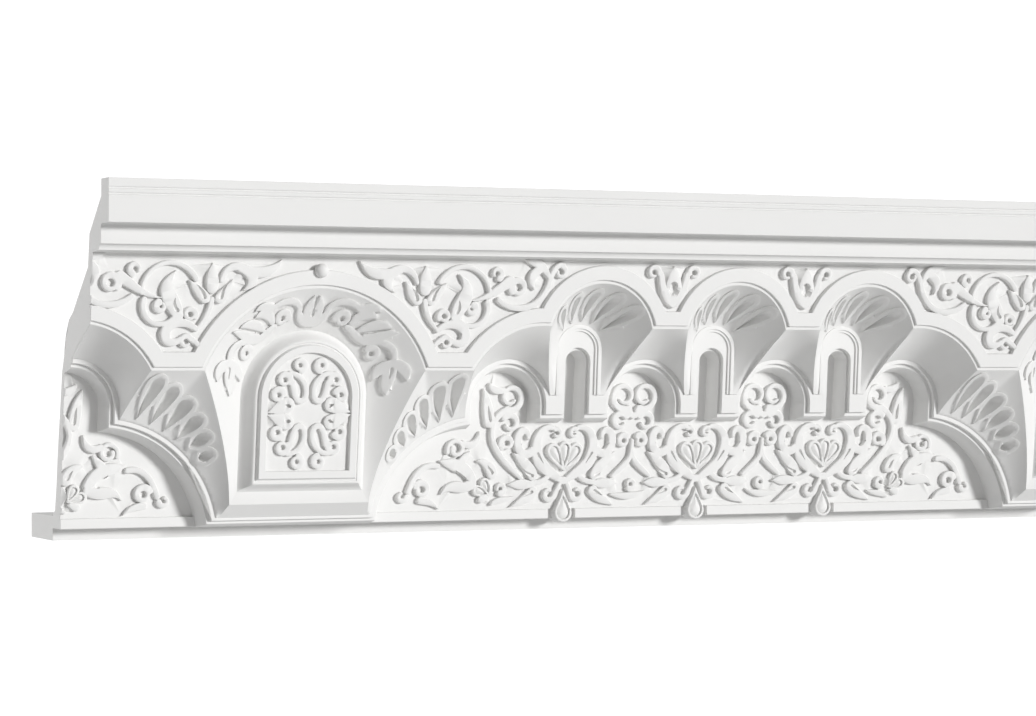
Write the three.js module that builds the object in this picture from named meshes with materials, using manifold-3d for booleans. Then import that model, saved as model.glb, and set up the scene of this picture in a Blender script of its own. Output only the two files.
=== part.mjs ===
// One cast plaster length of a stalactite cornice: crown mouldings on top, a carved frieze with a
// scalloped lower edge, fluted cells under it, an arched niche, and a carved lower frieze on a base
// strip. Lengths in mm. The cornice is set out from its left end, the base fascia and the underside,
// and the finished mesh is then moved so that the middle of the wall flange is the origin.
import * as THREE from "three";
import Module from "manifold-3d";
import { mergeVertices } from "three/addons/utils/BufferGeometryUtils.js";

const wasm = await Module();
wasm.setup();
const { Manifold, Mesh } = wasm;

// Plan
const PITCH = 158; // shell to shell
const NICHE = 233; // left end to the niche axis, and niche axis to the side arch
const HALF = NICHE + 1.5 * PITCH; // niche axis to the middle shell
const LENGTH = NICHE + 2 * HALF;
const SHELL = HALF - PITCH; // niche axis to the first shell
const ARCH = HALF - PITCH / 2; // niche axis to the small arch between shells

// Section
const HEIGHT = 350;
const FLANGE = 24.5; // height of the wall flange
const FLANGE_BACK = 78; // base fascia to the wall
const BASE_TOP = 12.4;
const BASE_STRIP = 22.7;
const FASCIA = -189.5;
const FASCIA_FOOT = 308;
const BAND = -164.5;
const BAND_FOOT = 288.7;
const SOFFIT = 281.5;
const RELIEF = 5.5;
const LEAN = 0.11;

// Scalloped edge of the upper frieze
const NICHE_R = 127;
const NICHE_Z = 126;
const SIDE_R = 89.5;
const SIDE_Z = 128;
const SIDE_SHIFT = 13; // the side arch of the frieze sits off the axis below it
const SHELL_R = 62.3;
const SHELL_Z = 199;
const LOW_FLAT = 172;
const HIGH_FLAT = 215;
const BORDER = 14.5;
const LIP = 3.5;

// Lower plates
const ARCH_R = 39.5;
const ARCH_Z = 132;
const QUARTER_R = 115;
const QUARTER_SHIFT = 29;
const STEP_A = 4.3; // plate A is cut back this much from plate B
const STEP_CELL = 9.2; // and the cells start this much from plate B
const LEDGE = 143;
const HOOD_R = 24.5;
const HOOD_Z = 190.5;
const SLOT_R = 11.6;
const SLOT_Z = 178;

// Niche panel: half widths and feet of its steps
const FRAME_Z = 142;
const FOOT_R = 67;
const FOOT_Z = 48;
const RIDGE_R = 55.7;
const RIDGE_Z = 56.2;
const RIM_R = 51.3;
const RIM_Z = 61.5;
const SUNK_R = 44.3;
const SUNK_Z = 68.7;
const SILL_TOP = [74.4, 35.5, -74.5];
const SILL_FOOT = [79.5, 22, -57.4];

// Pendants in the gaps of the base strip
const DROP_Z = 18.8;
const DROP_R = 10.5;
const DROP_TIP = 44;
const DROP_FACE = -33.5;
const GAP = 16; // half width of a gap

const RAD = Math.PI / 180;
const frieze = (x, z) => -131 - LEAN * (z - 218);
const ground = (x, z) => -26 - LEAN * (z - 24);
const plateA = (x, z) => -57 - 0.075 * (z - 22);
const plateB = (x, z) => plateA(x, z) + 5;
const nicheBack = (x, z) => SILL_TOP[2] - LEAN * (z - SILL_TOP[1]);
const behind = (f, d) => (x, z) => f(x, z) + d;
const level = (y) => () => y;

function solid(geometry) {
  geometry.deleteAttribute("normal");
  geometry.deleteAttribute("uv");
  const g = mergeVertices(geometry, 1e-5);
  return new Manifold(new Mesh({
    numProp: 3,
    vertProperties: new Float32Array(g.attributes.position.array),
    triVerts: new Uint32Array(g.index.array),
  }));
}

// A plate between two outlines in the front view: the front one on the surface front(x, z), the back
// one (the same outline unless given) at the plane y = back.
function plate(outline, front, back, backOutline = outline) {
  const shape = new THREE.Shape(outline.map(([x, z]) => new THREE.Vector2(x, z)));
  const g = new THREE.ExtrudeGeometry(shape, { depth: 1, bevelEnabled: false });
  const place = new Map();
  outline.forEach(([x, z], i) => place.set(`${Math.fround(x)},${Math.fround(z)}`, backOutline[i]));
  const p = g.attributes.position;
  for (let i = 0; i < p.count; i += 1) {
    const x = p.getX(i);
    const z = p.getY(i);
    const [bx, bz] = place.get(`${x},${z}`);
    if (p.getZ(i) > 0.5) p.setXYZ(i, x, front(x, z), z);
    else p.setXYZ(i, bx, typeof back === "function" ? back(bx, bz) : back, bz);
  }
  return solid(g);
}

// A bar along the length from a section in (y, z).
function bar(section) {
  const shape = new THREE.Shape(section.map(([y, z]) => new THREE.Vector2(y, z)));
  const g = new THREE.ExtrudeGeometry(shape, { depth: LENGTH + 40, bevelEnabled: false });
  const turn = new THREE.Matrix4().set(0, 0, 1, -20, 1, 0, 0, 0, 0, 1, 0, 0, 0, 0, 0, 1);
  return solid(g.applyMatrix4(turn));
}

// A patch of surface given as columns of [x, z, y] points, filled back to the plane y = back.
function patch(columns, back) {
  const rows = columns[0].length;
  const pts = [];
  for (const side of [0, 1]) {
    columns.flat().forEach(([x, z, y]) => pts.push(x, side ? back : y, z));
  }
  const at = (i, j, side) => side * columns.length * rows + i * rows + j;
  const tri = [];
  const quad = (a, b, c, d) => tri.push(a, b, c, a, c, d);
  const n = columns.length - 1;
  const m = rows - 1;
  for (let i = 0; i < n; i += 1) {
    for (let j = 0; j < m; j += 1) {
      quad(at(i, j, 0), at(i, j + 1, 0), at(i + 1, j + 1, 0), at(i + 1, j, 0));
      quad(at(i, j, 1), at(i + 1, j, 1), at(i + 1, j + 1, 1), at(i, j + 1, 1));
    }
    quad(at(i, 0, 0), at(i + 1, 0, 0), at(i + 1, 0, 1), at(i, 0, 1));
    quad(at(i, m, 0), at(i, m, 1), at(i + 1, m, 1), at(i + 1, m, 0));
  }
  for (let j = 0; j < m; j += 1) {
    quad(at(0, j, 0), at(0, j, 1), at(0, j + 1, 1), at(0, j + 1, 0));
    quad(at(n, j, 0), at(n, j + 1, 0), at(n, j + 1, 1), at(n, j, 1));
  }
  const g = new THREE.BufferGeometry();
  g.setAttribute("position", new THREE.Float32BufferAttribute(pts, 3));
  g.setIndex(tri);
  const s = solid(g);
  return s.volume() > 0 ? s : flipped(g);
}

function flipped(g) {
  const a = g.index.array;
  for (let i = 0; i < a.length; i += 3) [a[i + 1], a[i + 2]] = [a[i + 2], a[i + 1]];
  return solid(g);
}

// Points of an arc in the front view, angles in degrees
function arc(cx, cz, r, a0, a1, step = 15) {
  const n = Math.max(2, Math.ceil(Math.abs(a1 - a0) / step));
  const out = [];
  for (let i = 0; i <= n; i += 1) {
    const a = (a0 + ((a1 - a0) * i) / n) * RAD;
    out.push([cx + r * Math.cos(a), cz + r * Math.sin(a)]);
  }
  return out;
}

const rise = (z, cz, r) => Math.asin(Math.min(1, Math.max(-1, (z - cz) / r))) / RAD;

// Where the side arch meets the first shell arch, as an angle on each
function crossing(ax, az, ar, bx, bz, br) {
  const d = Math.hypot(bx - ax, bz - az);
  const along = (d * d + ar * ar - br * br) / (2 * d);
  const up = Math.sqrt(ar * ar - along * along);
  const ux = (bx - ax) / d;
  const uz = (bz - az) / d;
  const x = ax + along * ux - up * uz;
  const z = az + along * uz + up * ux;
  return [Math.atan2(z - az, x - ax) / RAD, Math.atan2(z - bz, x - bx) / RAD];
}

// The scalloped edge from the niche crown to the middle shell's crown, moved up by d, as its pieces
function scallop(d) {
  const low = LOW_FLAT + d;
  const high = HIGH_FLAT + d;
  const sideX = NICHE + SIDE_SHIFT;
  const [onSide, onShell] = crossing(sideX, SIDE_Z, SIDE_R + d, SHELL, SHELL_Z, SHELL_R + d);
  const end = rise(high, SHELL_Z, SHELL_R + d);
  return {
    niche: arc(0, NICHE_Z, NICHE_R + d, 90, rise(low, NICHE_Z, NICHE_R + d), 16),
    side: arc(sideX, SIDE_Z, SIDE_R + d, 180 - rise(low, SIDE_Z, SIDE_R + d), onSide, 25),
    shell: arc(SHELL, SHELL_Z, SHELL_R + d, onShell, end, 22),
    middle: arc(HALF, SHELL_Z, SHELL_R + d, 180 - end, 90, 22),
  };
}

function scallopLine(d) {
  const s = scallop(d);
  return [...s.niche, ...s.side, ...s.shell.slice(1), ...s.middle];
}

// The lower edge of the plates from the niche axis to the middle slot, moved up by d
function lowerLine(d) {
  const base = 15.5 + 0.8 * d;
  const foot = 118.5 + d;
  const r = ARCH_R + d;
  const q = QUARTER_R + d;
  const slot = SLOT_R + 0.65 * d;
  const qx = NICHE - QUARTER_SHIFT;
  const start = 180 - rise(base, -2, q);
  const stop = Math.acos((NICHE - r - qx) / q) / RAD;
  return [
    [0, base],
    ...arc(qx, -2, q, start, stop, 18),
    ...arc(NICHE, ARCH_Z, r, 180, 0, 30),
    [NICHE + r, foot],
    [SHELL - slot, foot],
    ...arc(SHELL, SLOT_Z, slot, 180, 0, 45),
    [SHELL + slot, foot],
    [ARCH - r, foot],
    ...arc(ARCH, ARCH_Z, r, 180, 0, 30),
    [ARCH + r, foot],
    [HALF - slot, foot],
    ...arc(HALF, SLOT_Z, slot, 180, 90, 45),
  ];
}

const close = (line, top) => [...line, [line.at(-1)[0], top], [line[0][0], top]];
const between = (line, other) => [...line, ...other.slice().reverse()];

// Even spacing of n + 1 points along a line of points
function spaced(line, n) {
  const at = [0];
  for (let i = 1; i < line.length; i += 1) {
    at.push(at[i - 1] + Math.hypot(line[i][0] - line[i - 1][0], line[i][1] - line[i - 1][1]));
  }
  const out = [];
  let k = 1;
  for (let i = 0; i <= n; i += 1) {
    const s = (at.at(-1) * i) / n;
    while (k < at.length - 1 && at[k] < s) k += 1;
    const f = (s - at[k - 1]) / (at[k] - at[k - 1]);
    out.push(line[k].map((v, c) => line[k - 1][c] + f * (v - line[k - 1][c])));
  }
  return out;
}

// A hollowed surface from the upper line to the lower line, in rows, with a hidden row past each line
// that runs back into the plates
const CELL_ROWS = 2;
function ruled(upper, lower, hollow) {
  return upper.map((t, i) => {
    const c = lower[i];
    const d = Math.hypot(c[0] - t[0], c[1] - t[1]);
    const ux = (c[0] - t[0]) / d;
    const uz = (c[1] - t[1]) / d;
    const column = [[t[0] - 3 * ux, t[1] - 3 * uz, t[2] + 5]];
    for (let j = 0; j <= CELL_ROWS; j += 1) {
      const v = j / CELL_ROWS;
      const sag = v * (1 + hollow - hollow * v);
      column.push([t[0] + v * d * ux, t[1] + v * d * uz, t[2] + sag * (c[2] - t[2])]);
    }
    column.push([c[0] + 2 * ux, c[1] + 2 * uz, c[2] + 5]);
    return column;
  });
}

const onto = (line, f) => line.map(([x, z]) => [x, z, f(x, z)]);
const lipFace = behind(frieze, 3);
const cellFoot = behind(plateA, -1.8);

// The niche edge beside the wing, from the sill up to the flat
function wingEdge() {
  const out = [];
  for (let i = 0; i <= 4; i += 1) {
    const s = i / 4;
    const z = SILL_TOP[1] + s * (LOW_FLAT - LIP - SILL_TOP[1]);
    const top = Math.sqrt((NICHE_R - LIP) ** 2 - (LOW_FLAT - LIP - NICHE_Z) ** 2);
    const x = SILL_TOP[0] + (top - SILL_TOP[0]) * s ** 1.5;
    out.push([x, z, SILL_TOP[2] + (lipFace(0, LOW_FLAT) - SILL_TOP[2]) * s ** 1.15]);
  }
  return out;
}

function cells() {
  const lip = scallop(-LIP);
  const r = ARCH_R + STEP_CELL;
  const q = QUARTER_R + STEP_CELL;
  const qx = NICHE - QUARTER_SHIFT;
  const qa = Math.acos((NICHE - r - qx) / q) / RAD;
  const la = rise(LEDGE, ARCH_Z, r);
  const edge = wingEdge();
  const flatEnd = lip.side[0];
  const wingTop = [SILL_FOOT, ...edge, [(edge.at(-1)[0] + flatEnd[0]) / 2, flatEnd[1]], flatEnd]
    .map(([x, z, y]) => [x, z, y ?? lipFace(x, z)]);
  const wingFoot = wingTop.map(([x, z], i) => {
    const a = i === 0 ? 180 - rise(22.5, -2, q) : Math.atan2(z + 2, x - qx) / RAD;
    return arc(qx, -2, q, Math.max(qa, i === wingTop.length - 1 ? qa : a), qa)[0];
  });
  const sideFoot = [arc(qx, -2, q, qa, qa)[0], ...arc(NICHE, ARCH_Z, r, 180, la)];
  const hood = (x, a1) => [
    [x - HOOD_R - 7, LEDGE],
    [x - HOOD_R, LEDGE],
    ...arc(x, HOOD_Z, HOOD_R, 180, a1, 20),
  ];
  const ledgeIn = NICHE + r * Math.cos(la * RAD);
  const shellFoot = [[ledgeIn, LEDGE], ...hood(SHELL, 0).slice(1)];
  shellFoot.push([SHELL + HOOD_R, LEDGE], [ARCH - r * Math.cos(la * RAD), LEDGE]);
  const midFoot = [[ARCH + r * Math.cos(la * RAD), LEDGE], ...hood(HALF, 90).slice(1)];
  const archFoot = arc(ARCH, ARCH_Z, r, 180 - la, la);
  const flat = [lip.shell.at(-1), lip.middle[0]];
  const zone = (top, foot, n, hollow) => ruled(
    onto(spaced(top, n), lipFace), onto(spaced(foot, n), cellFoot), hollow);
  const columns = [
    ruled(wingTop, onto(wingFoot, cellFoot), 0.3),
    zone(lip.side, sideFoot, 6, 0.25),
    zone(lip.shell, shellFoot, 8, 0.7),
    zone(flat, archFoot, 6, 0.25),
    zone(lip.middle, midFoot, 4, 0.7),
  ];
  return columns.flatMap((c, i) => (i ? c.slice(1) : c));
}

// Arched outline of half width r about the niche axis, from its foot
function arched(r, foot, step = 20) {
  return [[-r, foot], ...arc(0, FRAME_Z, r, 180, 0, step), [r, foot]];
}

function nicheSplay() {
  const lip = scallop(-LIP);
  const top = [...onto(lip.niche, lipFace), ...wingEdge().reverse().slice(1)];
  const foot = [...arc(0, FRAME_Z, FOOT_R, 90, 0, 23), [FOOT_R, FOOT_Z]];
  const n = top.length - 1;
  return ruled(top, onto(spaced(foot, n), nicheBack), 0.12);
}

const mirrored = (s) => s.mirror([1, 0, 0]);
const moved = (s, x) => s.translate([x, 0, 0]);

// Plates, cells and niche of half a run, from the niche axis to the middle shell
function halfRun() {
  const edge = scallopLine(0);
  const inner = scallopLine(7);
  const lipLine = scallopLine(-LIP);
  const B = lowerLine(0);
  const A = lowerLine(STEP_A);
  const top = 284;
  const parts = [
    plate(close(inner, top), behind(frieze, RELIEF), -40),
    plate(between(edge, scallopLine(BORDER)), frieze, -60),
    plate(between(lipLine, inner), lipFace, -40),
    plate(close(B, 214), plateB, -12, close(lowerLine(-5), 214)),
    plate(close(A, 214), plateA, -50),
    patch(cells(), -45),
    patch(nicheSplay(), -50),
  ];
  const sill = [[[0, SILL_FOOT[1], SILL_FOOT[2]], [0, SILL_TOP[1], SILL_TOP[2]]], [
    [SILL_FOOT[0], SILL_FOOT[1], SILL_FOOT[2]], [SILL_TOP[0], SILL_TOP[1], SILL_TOP[2]]]];
  parts.push(patch(sill, -40));
  const apron = [[0, SILL_TOP[1]], [SILL_TOP[0], SILL_TOP[1]], [FOOT_R, FOOT_Z], [0, FOOT_Z]];
  parts.push(plate(apron, nicheBack, -40));
  for (const x of [SHELL, HALF]) {
    const hood = (r) => [[x - r, LEDGE], ...arc(x, HOOD_Z, r, 180, 0, 30), [x + r, LEDGE]];
    parts.push(plate(between(hood(HOOD_R + 1.5), hood(19)), behind(plateA, -2.2), -60));
  }
  return parts.reduce((a, b) => a.add(b));
}

function panel() {
  const foot = arched(FOOT_R, FOOT_Z);
  const ridge = arched(RIDGE_R, RIDGE_Z);
  const body = plate(ridge, behind(nicheBack, -15), nicheBack, foot)
    .add(plate(foot, behind(nicheBack, -0.2), -50))
    .add(plate(arched(RIM_R, RIM_Z), behind(nicheBack, -19), -50));
  return body.subtract(plate(arched(SUNK_R, SUNK_Z), level(-150), behind(nicheBack, -14)));
}

// Drop shaped flute: a rounded head at (x, z, y), running down to a point
function flute(head, tail, radius) {
  const h = new THREE.Vector3(...head);
  const dir = new THREE.Vector3(...tail).sub(h);
  const length = dir.length();
  const profile = [[0, -radius], [radius, 0], [radius * 0.6, length * 0.45], [0, length]];
  const g = new THREE.LatheGeometry(profile.map((p) => new THREE.Vector2(...p)), 5);
  const q = new THREE.Quaternion().setFromUnitVectors(new THREE.Vector3(0, 1, 0), dir.normalize());
  g.applyQuaternion(q).translate(h.x, h.y, h.z);
  return solid(g);
}

function flutes() {
  const out = [];
  for (const x of [SHELL, HALF]) {
    for (let k = -2; k <= 2; k += 1) {
      const a = (90 + 23.3 * k) * RAD;
      const at = (r, y) => [x + r * Math.cos(a), y, 190 + r * Math.sin(a)];
      out.push(flute(at(50, -112), at(30, -79), 6));
    }
  }
  const heads = [170, 167, 162, 154, 146, 138];
  heads.forEach((r, i) => {
    const a = (106 + 6.9 * i) * RAD;
    const at = (d, y) => [NICHE - QUARTER_SHIFT + d * Math.cos(a), y, -2 + d * Math.sin(a)];
    out.push(flute(at(r - 6, -111 + 6.6 * i), at(129, -73 + i), 6 - 0.3 * i));
  });
  return out.reduce((a, b) => a.add(b));
}

// Strokes of the carving, as outlines in the front view
function ribbon(line, width) {
  const left = [];
  const right = [];
  line.forEach(([x, z], i) => {
    const a = line[Math.max(0, i - 1)];
    const b = line[Math.min(line.length - 1, i + 1)];
    const d = Math.hypot(b[0] - a[0], b[1] - a[1]);
    const w = width(i / (line.length - 1)) / d;
    left.push([x - (b[1] - a[1]) * w, z + (b[0] - a[0]) * w]);
    right.push([x + (b[1] - a[1]) * w, z - (b[0] - a[0]) * w]);
  });
  return between(left, right);
}

// A curl of radius r0 closing to r1, from angle a0 to a1, of half width w
function curl(x, z, r0, r1, a0, a1, w) {
  const n = Math.max(3, Math.ceil(Math.abs(a1 - a0) / 85));
  const line = [];
  for (let i = 0; i <= n; i += 1) {
    const r = r0 + ((r1 - r0) * i) / n;
    line.push(arc(x, z, r, a0 + ((a1 - a0) * i) / n, 0)[0]);
  }
  return ribbon(line, (s) => w * (1 - 0.25 * s));
}

// A bowed stroke between two points: bow is its rise over its length, to the left of its run
function bowed(x0, z0, x1, z1, bow, n) {
  const line = [];
  for (let i = 0; i <= n; i += 1) {
    const s = i / n;
    const b = 4 * bow * s * (1 - s);
    line.push([x0 + s * (x1 - x0) - b * (z1 - z0), z0 + s * (z1 - z0) + b * (x1 - x0)]);
  }
  return line;
}

const stem = (x0, z0, x1, z1, bow, w) => ribbon(
  bowed(x0, z0, x1, z1, bow, Math.abs(bow) > 0.2 ? 4 : 2), () => w);
const leaf = (x0, z0, x1, z1, bow, w) => ribbon(
  bowed(x0, z0, x1, z1, bow, Math.abs(bow) > 0.3 ? 3 : 2),
  (s) => 0.5 + w * Math.sin(Math.PI * (0.16 + 0.84 * s)) ** 0.9);

// The large spandrel beside the niche, x from the niche axis
function spandrel() {
  return [
    leaf(82, 266, 45, 276, 0.25, 4.5),
    stem(79, 267, 106, 256, 0.35, 3.6),
    leaf(108, 232, 93, 257, 0.16, 6),
    leaf(120, 233, 143, 257, 0.22, 6),
    leaf(114, 249, 114, 274, 0, 6),
    curl(154, 244, 29, 29, 155, 0, 3.2),
    curl(163.5, 231, 18, 17, 20, -205, 3.2),
    leaf(146, 233, 158, 266, -0.2, 5.5),
    curl(215, 252, 9, 7, 200, -70, 3.6),
    stem(193, 241, 248, 258, -0.42, 3.2),
    curl(142, 203, 10, 8, -40, 170, 4.5),
  ];
}

// Between two shells: a pair of volutes with an almond
function pair(x) {
  const one = (s) => [
    stem(x, 238, x + s * 15, 268, s * -0.25, 3.3),
    curl(x + s * 22.5, 269, 7.5, 4, s > 0 ? 180 : 0, s > 0 ? -100 : 280, 3.2),
  ];
  return [...one(1), ...one(-1), leaf(x, 240, x, 277, 0, 7.5)];
}

// Lower frieze, under a shell: palmette, heart scrolls, side lobes and leaves
function palmette(x) {
  const one = (s) => [
    leaf(x, 65, x + s * 16, 90, s * 0.1, 5),
    stem(x, 52, x + s * 29, 84, s * -0.12, 3.3),
    curl(x + s * 15, 97, 15.5, 9, s > 0 ? -55 : 235, s > 0 ? 200 : -20, 3.3),
    curl(x + s * 16, 37, 10, 6, s > 0 ? 125 : 55, s > 0 ? 380 : -200, 3.3),
    curl(x + s * 45, 93, 9, 6, s > 0 ? 230 : -50, s > 0 ? -40 : 220, 4.2),
  ];
  return [leaf(x, 62, x, 94, 0, 5.5), ...one(1), ...one(-1)];
}

// Lower frieze, under a small arch: ram's horns and the double scroll in the opening
function horns(x) {
  const one = (s) => [
    curl(x + s * 9, 93, 8, 5, s > 0 ? 120 : 60, s > 0 ? -180 : 360, 3.4),
    stem(x + s * 4, 90, x + s * 24, 57, s * -0.1, 3.2),
    curl(x + s * 11, 141, 13, 8, s > 0 ? 140 : 40, s > 0 ? -200 : 380, 4.2),
    curl(x + s * 13, 113, 8, 5, s > 0 ? 150 : 30, s > 0 ? -170 : 350, 3.6),
  ];
  return [...one(1), ...one(-1)];
}

// Lower frieze, under the side arch and the quarter arc, x from the niche axis
function lunette() {
  const x = NICHE;
  return [
    curl(x + 13, 140, 13, 8, 250, -60, 4.2),
    stem(x - 2, 118, x + 2, 84, 0.12, 3.3),
    stem(x + 2, 84, x + 29, 55, 0.15, 3.3),
    curl(x + 11, 92, 11, 6, 200, -100, 3.6),
    curl(x - 51, 88, 10, 6, 0, 260, 3.6),
    leaf(x - 66, 78, x - 34, 54, 0.2, 7),
    stem(x - 62, 66, x - 107, 44, 0.3, 3.2),
    curl(x - 83, 49, 9, 6, 200, -50, 4),
  ];
}

// Knotwork of the niche panel, in the right upper and lower quarters
function knot() {
  const one = (s, t) => {
    const Z = (v) => 126 + t * v;
    const turn = (a) => (t > 0 ? (s > 0 ? a : 180 - a) : (s > 0 ? -a : 180 + a));
    const ring = (u, v, r0, r1, a0, a1, w) => curl(s * u, Z(v), r0, r1, turn(a0), turn(a1), w);
    return [
      ring(10, 48, 8.5, 5, 200, -110, 3.2),
      ring(27, 33, 8, 5, 150, -120, 3.2),
      ring(23, 8, 8, 5, -80, 190, 3.2),
    ];
  };
  return [one(1, 1), one(-1, 1), one(1, -1), one(-1, -1)].flat();
}

// Leaf band on the niche splay, on the right, x from the niche axis
function splayBand() {
  return [
    leaf(2, 216, 12, 240, -0.2, 6),
    curl(32, 222, 9, 6, 160, -120, 3.8),
    stem(40, 218, 66, 192, 0.35, 3),
    curl(65, 184, 8, 5, 120, -160, 3.6),
    leaf(83, 175, 82, 145, 0, 5.5),
  ];
}

function splayFace(x, z) {
  const a = Math.atan2(z - FRAME_Z, Math.abs(x));
  const lip = NICHE_R - LIP;
  const drop = FRAME_Z - NICHE_Z;
  const outer = -drop * Math.sin(a) + Math.sqrt(lip * lip - (drop * Math.cos(a)) ** 2);
  const f = (Math.hypot(x, z - FRAME_Z) - FOOT_R) / (outer - FOOT_R);
  return nicheBack(x, z) + f * (lipFace(x, z) - nicheBack(x, z));
}

const flip = (line) => line.map(([x, z]) => [-x, z]);

function carve(outlines, face, sink) {
  return outlines.map((o) => plate(o, face, (x, z) => face(x, z) + sink))
    .reduce((a, b) => a.add(b));
}

const carvedTop = carve([...spandrel(), ...pair(ARCH)], frieze, 7);
const carvedLow = carve(
  [...palmette(SHELL), ...horns(ARCH), ...lunette()], behind(ground, -RELIEF), 7);
const carvedMiddle = carve(palmette(HALF), behind(ground, -RELIEF), 7);
const carvedNiche = carve(knot(), behind(nicheBack, -18), 6)
  .add(carve([...splayBand(), ...splayBand().map(flip)], behind(splayFace, -4), 7));

const half = halfRun().subtract(flutes()).add(carvedTop).add(carvedLow);
const BALL_Z = 267; // ball on the crown of the niche
const ball = solid(new THREE.SphereGeometry(7, 8, 6).translate(0, frieze(0, BALL_Z) - 1, BALL_Z));
const niche = panel().add(carvedNiche).add(ball);

// A drop in a thick drop-shaped plaque, hung in a gap of the base strip
function pendant(x) {
  const plaque = [...arc(x, DROP_Z, DROP_R, -200, 20, 28), [x, DROP_TIP]];
  const r = DROP_R - 3;
  const profile = [[0, -r], [r * 0.8, -r * 0.6], [r, 0], [r * 0.6, 8], [0, 16]];
  const drop = new THREE.LatheGeometry(profile.map((p) => new THREE.Vector2(...p)), 6);
  drop.rotateX(Math.PI / 2).scale(1, 0.6, 1).translate(x, DROP_FACE + 1, DROP_Z);
  return plate(plaque, level(DROP_FACE), -15).add(solid(drop));
}

function stripGap(x) {
  const gap = [[x - GAP, BASE_TOP - 1], [x + GAP, BASE_TOP - 1], [x + GAP, FLANGE], [x - GAP, FLANGE]];
  return plate(gap, level(-60), -23.5);
}

const top = bar([
  [-134, 280], [-134, SOFFIT], [-157, SOFFIT], [-157, 283], [BAND, BAND_FOOT], [BAND, 305],
  [-167, FASCIA_FOOT], [FASCIA, FASCIA_FOOT], [FASCIA, 334], [FASCIA + 1.2, 335], [FASCIA, 336],
  [FASCIA, 339.6], [FASCIA + 1.2, 340.6], [FASCIA, 341.6], [FASCIA, HEIGHT], [-100, HEIGHT],
  [-100, 280],
]);
const base = bar([[0, 0], [FLANGE_BACK, 0], [FLANGE_BACK, FLANGE], [20, FLANGE], [20, 232],
  [ground(0, 232), 232], [ground(0, BASE_STRIP), BASE_STRIP], [-29, BASE_STRIP],
  [-29, BASE_TOP], [0, BASE_TOP]]);
const hollow = bar([
  [-165, HEIGHT + 5], [-165, 334], [-126, 300], [-121, 268], [-71, 226], [-56, 218], [-50, 206],
  [-33, 168], [-25, 125], [-18, 90], [-13, 55], [-8, 31], [0, FLANGE], [FLANGE_BACK + 5, FLANGE],
  [FLANGE_BACK + 5, HEIGHT + 5],
]);

const shells = [0, 1, 2].map((k) => NICHE + SHELL + k * PITCH);
const cutBase = shells.reduce((a, x) => a.subtract(stripGap(x)), base);
const cast = [
  moved(half, NICHE), moved(mirrored(half), NICHE), moved(mirrored(half), LENGTH),
  moved(niche, NICHE), moved(niche, LENGTH), moved(carvedMiddle, NICHE),
  ...shells.map(pendant), cutBase,
].reduce((a, b) => a.add(b), top);
const block = solid(new THREE.BoxGeometry(LENGTH, 400, 400).translate(LENGTH / 2, -80, 180));
const finished = cast.intersect(block).subtract(hollow);

const m = finished.getMesh();
const geometry = new THREE.BufferGeometry();
geometry.setAttribute("position", new THREE.BufferAttribute(new Float32Array(m.vertProperties), 3));
geometry.setIndex(new THREE.BufferAttribute(new Uint32Array(m.triVerts), 1));
const plaster = new THREE.MeshStandardMaterial({ color: 0xe9e7e2, roughness: 0.9 });
const mesh = new THREE.Mesh(geometry, plaster);
mesh.name = "cornice_length";
mesh.position.set(-LENGTH / 2, -FLANGE_BACK, -FLANGE / 2);
const group = new THREE.Group();
group.name = "cornice";
group.add(mesh);
export default group;
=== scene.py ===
# %% [markdown]
# # A length of stalactite cornice in cast plaster
# The object is one casting: crown mouldings, a carved frieze with a scalloped edge, hollow fluted
# cells under it, an arched niche, and a second carved frieze over a base with a wall flange.
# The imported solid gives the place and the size. Every piece here is set out in millimetres from the
# left cut end (x), the base fascia (y, forward is negative) and the underside (z), as a plasterer
# would set it out on a board, and is then moved into the frame in metres.

# %% Open the frame
import math

import bmesh
import bpy
import numpy as np
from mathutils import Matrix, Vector
from mathutils.bvhtree import BVHTree
from mathutils.geometry import barycentric_transform, delaunay_2d_cdt


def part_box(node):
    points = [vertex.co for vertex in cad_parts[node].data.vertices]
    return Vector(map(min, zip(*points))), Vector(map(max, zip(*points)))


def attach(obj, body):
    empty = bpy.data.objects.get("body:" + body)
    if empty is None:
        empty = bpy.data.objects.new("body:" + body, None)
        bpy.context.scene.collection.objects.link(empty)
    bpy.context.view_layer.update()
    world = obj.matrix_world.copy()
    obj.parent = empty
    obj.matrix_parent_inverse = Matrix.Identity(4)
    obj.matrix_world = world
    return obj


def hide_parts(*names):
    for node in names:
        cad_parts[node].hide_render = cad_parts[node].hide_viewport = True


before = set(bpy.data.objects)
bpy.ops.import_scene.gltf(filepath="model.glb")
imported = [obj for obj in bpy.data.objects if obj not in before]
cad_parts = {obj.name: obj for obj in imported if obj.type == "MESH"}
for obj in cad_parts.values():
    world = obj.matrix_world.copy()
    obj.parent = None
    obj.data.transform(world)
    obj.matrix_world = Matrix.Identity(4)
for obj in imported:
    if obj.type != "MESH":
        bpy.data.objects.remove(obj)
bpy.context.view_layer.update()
low, high = (np.array(corner) * 1000 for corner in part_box("cornice_length"))
FLANGE_BACK = 78.0
ZERO = np.array([low[0], high[1] - FLANGE_BACK, low[2]])
LENGTH = high[0] - low[0]
HEIGHT = high[2] - low[2]
print("cornice", np.round(high - low, 1), "mm")

# %% [markdown]
# ## Setting out
# A run repeats: niche, side arch, shell, small arch, shell. Half of it, from the niche axis to the
# middle shell, is enough, because the other half is its mirror image. Each curve is an arc struck from
# a centre, and a distance d moves it up, so one function gives the edge, its lip and its border.

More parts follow.
